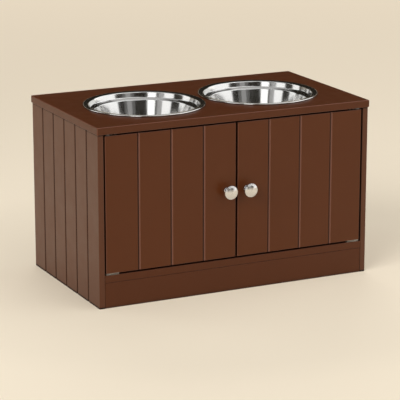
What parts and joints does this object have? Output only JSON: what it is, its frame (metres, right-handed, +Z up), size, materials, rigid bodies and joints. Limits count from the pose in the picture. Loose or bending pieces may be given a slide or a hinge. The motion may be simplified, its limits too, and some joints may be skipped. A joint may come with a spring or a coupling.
{
  "type": "raised pet feeder cabinet",
  "caption": "Raised dog feeder: a grooved brown cabinet with lift-out steel bowls in its top and a storage cupboard behind hinged doors.",
  "frame": {"origin": "on the floor, at the middle of the whole outline with the knobs included", "axes": "+Z up; +X along the width, to the right of someone facing the doors; the doors face -Y"},
  "size_m": [0.6, 0.3664, 0.3654],
  "materials": {
    "brown_paint": "fibreboard with smooth satin dark brown paint",
    "brown_board": "thin hardboard, dark brown",
    "polished_steel": "mirror polished stainless steel",
    "bright_nickel": "polished nickel plate",
    "plated_steel": "zinc plated steel",
    "zinc_casting": "die-cast zinc alloy",
    "beech": "bare beech",
    "brown_plastic": "moulded brown plastic",
    "nylon": "natural nylon",
    "magnet_ferrite": "ferrite magnet"
  },
  "bodies": {
    "cabinet": {"top_panel": "brown_paint", "left_side_panel": "brown_paint", "right_side_panel": "brown_paint", "back_panel": "brown_board", "bottom_panel": "brown_paint", "plinth_board": "brown_paint", "left_plinth_bracket": "plated_steel", "right_plinth_bracket": "plated_steel", "plinth_bracket_screws": "plated_steel", "cam_locks": "zinc_casting", "cam_bolts": "plated_steel", "dowels": "beech", "back_panel_screws": "plated_steel", "hinge_washers": "nylon", "cabinet_leaf_screws": "plated_steel", "catch_screws": "plated_steel", "left_top_cabinet_leaf": "plated_steel", "left_top_hinge_pin": "plated_steel", "left_bottom_cabinet_leaf": "plated_steel", "left_bottom_hinge_pin": "plated_steel", "left_catch_housing": "brown_plastic", "left_catch_magnet": "magnet_ferrite", "left_catch_pole_plates": "plated_steel", "right_top_cabinet_leaf": "plated_steel", "right_top_hinge_pin": "plated_steel", "right_bottom_cabinet_leaf": "plated_steel", "right_bottom_hinge_pin": "plated_steel", "right_catch_housing": "brown_plastic", "right_catch_magnet": "magnet_ferrite", "right_catch_pole_plates": "plated_steel"},
    "left_door_body": {"left_door": "brown_paint", "left_top_door_leaf": "plated_steel", "left_bottom_door_leaf": "plated_steel", "left_door_leaf_screws": "plated_steel", "left_knob": "bright_nickel", "left_knob_screw": "plated_steel", "left_strike_plate": "plated_steel", "left_strike_screw": "plated_steel"},
    "right_door_body": {"right_door": "brown_paint", "right_top_door_leaf": "plated_steel", "right_bottom_door_leaf": "plated_steel", "right_door_leaf_screws": "plated_steel", "right_knob": "bright_nickel", "right_knob_screw": "plated_steel", "right_strike_plate": "plated_steel", "right_strike_screw": "plated_steel"},
    "left_bowl_body": {"left_bowl": "polished_steel"},
    "right_bowl_body": {"right_bowl": "polished_steel"}
  },
  "joints": [
    {"name": "left_door_hinge", "type": "hinge", "parent": "cabinet", "child": "left_door_body", "pos_m": [-0.275, -0.15325, 0.20675], "axis": [0, 0, -1], "range_deg": [0, 110]},
    {"name": "right_door_hinge", "type": "hinge", "parent": "cabinet", "child": "right_door_body", "pos_m": [0.275, -0.15325, 0.20675], "axis": [0, 0, 1], "range_deg": [0, 110]},
    {"name": "left_bowl_lift", "type": "slide", "parent": "cabinet", "child": "left_bowl_body", "axis": [0, 0, 1], "range_m": [0, 0.12]},
    {"name": "right_bowl_lift", "type": "slide", "parent": "cabinet", "child": "right_bowl_body", "axis": [0, 0, 1], "range_m": [0, 0.12]}
  ]
}
